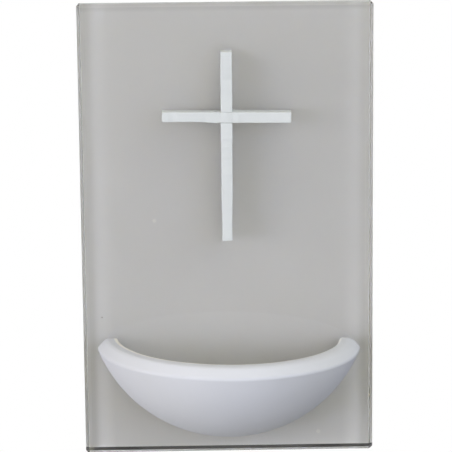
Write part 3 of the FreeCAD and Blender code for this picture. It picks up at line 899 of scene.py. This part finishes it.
def make_coat():
    """Lacquer in full contact with the glass: it starts a hair inside the rear face."""
    coat = new_block(
        "lacquer_coat",
        (coat_low.x, GLASS_REAR - COAT_GRIP, coat_low.z),
        (coat_high.x, coat_high.y, coat_high.z),
    )
    open_edit(coat, "EDGE")
    pick(coat, "edges", lambda edge: runs_along(edge, 1))
    bpy.ops.mesh.bevel(offset=COAT_CORNER, segments=3)
    close_edit()
    finish_piece(coat, LACQUER, "warm_grey_coat", "rear_colour_coat")


def dress_node(name, material):
    """Gives a carried-over node its material."""
    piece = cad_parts[name]
    piece.data.materials.clear()
    piece.data.materials.append(material)


# ---------------------------------------------------------------------------
# Behind the glass: foam tapes and rubber buffers
# ---------------------------------------------------------------------------

TAPE_CORNER = 0.8 * MM
TAPE_SWELL = 0.18 * MM
TAPE_CUTS = (0.08, 0.25, 0.5, 0.75, 0.92)  # shares of the thickness
TAPE_SLICE = 0.9 * MM
TAPE_UNEVENNESS = (0.10 * MM, 1.6 * MM)  # depth and size
BESIDE_FACE = 0.44  # share of the thickness from the middle where a large face's edge begins

# Rubber buffer, from its sticky disc to the wall.
BUFFER_TAPER = 0.25 * MM
GROOVE_DEPTH = 0.15 * MM
GROOVE_WIDTH = 0.15 * MM
BUFFER_STRAIGHT = 0.8 * MM
BUFFER_ROUND = 0.7 * MM
BUFFER_FINE_ROUND = 0.08 * MM
DISH_RIM = 1.9 * MM
DISH_DEPTH = 0.5 * MM
DISH_SHRINK = 0.85


def copy_piece(piece, name, shift):
    """A second piece of the same make, with its own mesh, set down further along."""
    only(piece)
    bpy.ops.object.duplicate(linked=False)
    bpy.context.object.location = shift
    return settle(name)


def make_tapes():
    """Foam tape pressed between coat and hanger: its cut sides swell, most at half thickness."""
    low, high = tape_low, tape_high
    centre = (low + high) / 2
    size = high - low
    left = new_block("foam_tape_left", low, high)
    open_edit(left, "EDGE")
    pick(left, "edges", lambda edge: runs_along(edge, 1))
    bpy.ops.mesh.bevel(offset=TAPE_CORNER, segments=5)
    for share in TAPE_CUTS:
        level = low.y + share * size.y
        bpy.ops.mesh.select_all(action="SELECT")
        bpy.ops.mesh.bisect(plane_co=(0.0, level, 0.0), plane_no=(0.0, 1.0, 0.0))
        pick(left, "verts", lambda vertex: abs(vertex.co.y - level) < SAME_LEVEL)
        swell = 2 * TAPE_SWELL * 4 * share * (1 - share)
        bpy.ops.transform.resize(
            value=(1 + swell / size.x, 1.0, 1 + swell / size.z), center_override=centre
        )
    close_edit()
    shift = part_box("hanger_tape_right")[0] - low
    right = copy_piece(left, "foam_tape_right", shift)
    for tape, replaced in ((left, "hanger_tape_left"), (right, "hanger_tape_right")):
        slice_along(tape, 2, TAPE_SLICE)
        roughen(tape, tape.name + "_unevenness", *TAPE_UNEVENNESS)
        keep_thickness(tape, low.y, high.y)
        smooth(tape, 50.0)
        finish_piece(tape, FOAM, "foam_tape", replaced)


def keep_thickness(piece, front, rear):
    """Presses a piece's two large faces flat again after its sides have been roughened."""
    open_edit(piece, "VERT")
    middle = (front + rear) / 2
    beside = BESIDE_FACE * (rear - front)
    for level, towards in ((front, -1.0), (rear, 1.0)):
        pick(piece, "verts", lambda vertex: towards * (vertex.co.y - middle) > beside)
        bpy.ops.transform.resize(value=(1.0, 0.0, 1.0), center_override=(0.0, level, 0.0))
    close_edit()


def make_buffers():
    """Turned-edge rubber buffer: sticky disc, groove, slightly conical body, dished wall end."""
    low, high = buffer_low, buffer_high
    centre = (low + high) / 2
    radius = (high.x - low.x) / 2
    length = high.y - low.y
    at_end = (centre.x, high.y, centre.z)
    bpy.ops.object.select_all(action="DESELECT")
    bpy.ops.mesh.primitive_cylinder_add(
        vertices=72, radius=radius - BUFFER_TAPER, depth=STICKY_DISC,
        location=(centre.x, low.y + STICKY_DISC / 2, centre.z), rotation=(math.pi / 2, 0.0, 0.0),
    )
    left = settle("rubber_buffer_left")
    open_edit(left, "FACE")

    def grow(sideways, backwards):
        """Extrudes the wall end: out sideways by one amount and back by another."""
        push((0.0, backwards, 0.0))
        now = max(vertex.co.x for vertex in bmesh.from_edit_mesh(left.data).verts if vertex.select)
        share = (now - centre.x + sideways) / (now - centre.x)
        bpy.ops.transform.resize(value=(share, 1.0, share), center_override=at_end)

    pick(left, "faces", faces_towards((0, 1, 0)))
    grow(-GROOVE_DEPTH, 0.0)
    grow(0.0, GROOVE_WIDTH)
    grow(GROOVE_DEPTH + BUFFER_TAPER, 0.0)
    grow(0.0, BUFFER_STRAIGHT)
    grow(-BUFFER_TAPER, length - STICKY_DISC - GROOVE_WIDTH - BUFFER_STRAIGHT)
    bpy.ops.mesh.inset(thickness=DISH_RIM, depth=0.0)
    push((0.0, -DISH_DEPTH, 0.0))
    bpy.ops.transform.resize(value=(DISH_SHRINK, 1.0, DISH_SHRINK), center_override=at_end)
    bpy.ops.mesh.select_mode(type="EDGE")
    outer = radius - BUFFER_TAPER
    pick(left, "edges", lambda edge: all(
        abs(v.co.y - high.y) < SAME_LEVEL
        and abs((v.co - centre).xz.length - outer) < ON_RING for v in edge.verts))
    bpy.ops.mesh.bevel(offset=BUFFER_ROUND, segments=6)
    close_edit()
    round_sharp_edges(left, BUFFER_FINE_ROUND, 2, 40.0)
    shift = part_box("wall_buffer_right")[0] - low
    right = copy_piece(left, "rubber_buffer_right", shift)
    for buffer, replaced in ((left, "wall_buffer_left"), (right, "wall_buffer_right")):
        smooth(buffer)
        finish_piece(buffer, RUBBER, "buffer_rubber", replaced)


# ---------------------------------------------------------------------------
# Stage, light and camera
# ---------------------------------------------------------------------------

FLOOR_LEVEL = -0.42
FLOOR_SIZE = 0.8
FLOOR_CENTRE = -0.5  # in front of the wall plane
FLOOR_LIFT = 0.6  # glow of the floor where the view itself looks at it


def backdrop_share(tree, level):
    """How far a ray shows the white backdrop: fully in the view itself, and by a level in mirror
    images and through glass."""
    path = tree.nodes.new("ShaderNodeLightPath")
    through = math_node(
        tree, "MAXIMUM", path.outputs["Is Glossy Ray"], path.outputs["Is Transmission Ray"]
    )
    direct = math_node(tree, "LESS_THAN", path.outputs["Diffuse Depth"], 0.5)
    through = math_node(tree, "MULTIPLY", through, direct)
    through = math_node(tree, "MULTIPLY", through, level)
    return math_node(tree, "MAXIMUM", path.outputs["Is Camera Ray"], through)


def make_floor():
    """Pale floor under the hanging stoup."""
    bpy.ops.object.select_all(action="DESELECT")
    bpy.ops.mesh.primitive_plane_add(size=FLOOR_SIZE, location=(0.0, FLOOR_CENTRE, FLOOR_LEVEL))
    floor = settle("floor")
    material, tree, shader, place = new_material("pale_floor", Roughness=0.9)
    cloud = noise(tree, place, 6.0)
    colour = mix_colour(tree, cloud, (0.61, 0.61, 0.61), (0.63, 0.63, 0.63))
    tree.links.new(colour, shader.inputs["Base Color"])
    shader.inputs["Emission Color"].default_value = (1.0, 1.0, 1.0, 1.0)
    seen = tree.nodes.new("ShaderNodeLightPath").outputs["Is Camera Ray"]
    lift = math_node(tree, "MULTIPLY", seen, FLOOR_LIFT)
    tree.links.new(lift, shader.inputs["Emission Strength"])
    floor.data.materials.append(material)


# Soft lights of the studio: azimuth from the front towards +X and elevation, in degrees,
# angular radius where the light has faded out, strength and colour. Most of these numbers were
# worked out by a separate light study and then rounded. They were not chosen by hand.
SOFT_LIGHTS = (
    (-45.0, 0.0, 15.0, 9.5, (0.9, 0.9, 1.2)),
    (-57.0, 0.0, 24.0, 5.0, (0.9, 1.0, 1.15)),
    (-75.0, 0.0, 30.0, 4.0, (1.2, 1.05, 0.75)),
    (3.0, 7.0, 28.0, 1.5, (1.2, 1.15, 0.7)),
    (42.0, 10.0, 15.0, 2.8, (0.85, 1.0, 1.1)),
    (42.0, 15.0, 28.0, 1.0, (0.75, 0.75, 1.5)),
    (70.0, 50.0, 40.0, 1.5, (1.0, 1.05, 0.9)),
    (60.0, 75.0, 40.0, 0.6, (1.2, 1.0, 0.7)),
    (-128.0, -6.0, 30.0, 1.8, (0.95, 1.0, 1.1)),
    (0.0, 40.0, 35.0, 0.25, (1.0, 1.0, 0.95)),
    (180.0, 62.0, 60.0, 0.25, (1.0, 1.0, 1.05)),
    (150.0, 52.0, 28.0, 0.7, (1.0, 1.0, 1.0)),
)
# What the white table sends back up, before the object and behind it, in the same terms.
TABLE_GLOWS = (
    (3.0, -12.0, 55.0, 0.45, (1.1, 1.05, 0.85)),
    (180.0, -22.0, 30.0, 1.6, (1.0, 1.0, 1.0)),
)
TABLE_EDGE = -0.05  # sine of the elevation where the table has hidden the soft lights

# The white backdrop in mirror images and through glass, by shares of the way straight back: full
# behind the object and weaker around it, up to the sine of an elevation.
BEHIND_STARTS, BEHIND_FULL = 0.85, 0.97
AROUND_STARTS, AROUND_FULL, AROUND_LEVEL = -0.45, 0.3, 0.45
BACKDROP_TOP, BACKDROP_FADE = 0.11, 0.04


def soft_light(tree, towards, light):
    """A round glow of the world about one direction, brightest at its middle."""
    azimuth, elevation, radius, strength, colour = light
    azimuth, elevation = math.radians(azimuth), math.radians(elevation)
    cosine = node(tree, "ShaderNodeVectorMath", {"operation": "DOT_PRODUCT"})
    tree.links.new(towards, cosine.inputs[0])
    cosine.inputs[1].default_value = (
        math.sin(azimuth) * math.cos(elevation),
        -math.cos(azimuth) * math.cos(elevation),
        math.sin(elevation),
    )
    fade = tree.nodes.new("ShaderNodeMapRange")
    fade.interpolation_type = "SMOOTHSTEP"
    tree.links.new(cosine.outputs["Value"], fade.inputs["Value"])
    fade.inputs["From Min"].default_value = math.cos(math.radians(radius))
    fade.inputs["From Max"].default_value = 1.0
    fade.inputs["To Max"].default_value = strength
    tinted = node(tree, "ShaderNodeVectorMath", {"operation": "SCALE"})
    tinted.inputs[0].default_value = colour
    tree.links.new(fade.outputs["Result"], tinted.inputs["Scale"])
    return tinted.outputs[0]


def add_up(tree, lights):
    """The sum of some lights."""
    total = lights[0]
    for light in lights[1:]:
        added = node(tree, "ShaderNodeVectorMath", {"operation": "ADD"})
        tree.links.new(total, added.inputs[0])
        tree.links.new(light, added.inputs[1])
        total = added.outputs[0]
    return total


def make_world():
    """Soft lights around the object, in front of a white background."""
    world = bpy.data.worlds.new("studio")
    bpy.context.scene.world = world
    world.use_nodes = True
    tree = world.node_tree
    background = tree.nodes["Background"]
    towards = tree.nodes.new("ShaderNodeTexCoord").outputs["Generated"]
    total = add_up(tree, [soft_light(tree, towards, light) for light in SOFT_LIGHTS])
    way = split(tree, towards)
    above = remap(tree, way["Z"], TABLE_EDGE, 0.0, 0.0, 1.0)
    glows = [soft_light(tree, towards, glow) for glow in TABLE_GLOWS]
    light = add_up(tree, [scale_colour(tree, total, above), *glows])
    behind = remap(tree, way["Y"], BEHIND_STARTS, BEHIND_FULL, 0.0, 1.0)
    around = remap(tree, way["Y"], AROUND_STARTS, AROUND_FULL, 0.0, AROUND_LEVEL)
    lowest, highest = BACKDROP_TOP - BACKDROP_FADE, BACKDROP_TOP + BACKDROP_FADE
    low = remap(tree, way["Z"], lowest, highest, 1.0, 0.0)
    level = math_node(tree, "MULTIPLY", math_node(tree, "MAXIMUM", behind, around), low)
    shows = backdrop_share(tree, level)
    shown = mix_colour(tree, shows, light, (1.0, 1.0, 1.0))
    tree.links.new(shown, background.inputs["Color"])
    background.inputs["Strength"].default_value = 1.0


# Camera: its place in metres, how far it looks down and to the right and its tilt in radians, and
# its focal length in pixels of a frame that is FRAME_PIXELS wide.
CAMERA_PLACE = (-0.01280, -0.78661, 0.12092)
CAMERA_DOWN = 0.2027
CAMERA_RIGHT = 0.0160
CAMERA_TILT = -0.0099
FOCAL_PIXELS = 2311.4
FRAME_PIXELS = 452.0


def make_camera():
    """Long-lens camera in front of the stoup and above it, looking down."""
    camera = bpy.data.cameras.new("camera")
    camera.sensor_width = 36.0
    camera.lens = camera.sensor_width * FOCAL_PIXELS / FRAME_PIXELS
    camera.clip_start = 0.01
    camera.clip_end = 100.0
    holder = bpy.data.objects.new("camera", camera)
    bpy.context.scene.collection.objects.link(holder)
    forward = Vector((
        math.sin(CAMERA_RIGHT) * math.cos(CAMERA_DOWN),
        math.cos(CAMERA_RIGHT) * math.cos(CAMERA_DOWN),
        -math.sin(CAMERA_DOWN),
    ))
    level = Vector((math.cos(CAMERA_RIGHT), -math.sin(CAMERA_RIGHT), 0.0))
    upright = level.cross(forward)
    right = math.cos(CAMERA_TILT) * level + math.sin(CAMERA_TILT) * upright
    up = -math.sin(CAMERA_TILT) * level + math.cos(CAMERA_TILT) * upright
    turned = Matrix((right, up, -forward)).transposed().to_4x4()
    holder.matrix_world = Matrix.Translation(CAMERA_PLACE) @ turned
    bpy.context.scene.camera = holder


bpy.context.scene.view_settings.view_transform = "Standard"
make_camera()
make_world()
make_floor()
make_glass()
make_coat()
make_bowl()
make_cross()
dress_node("bowl_bond", ADHESIVE)
dress_node("cross_bond", ADHESIVE)
dress_node("hanger_plate", ZINC)
make_tapes()
make_buffers()
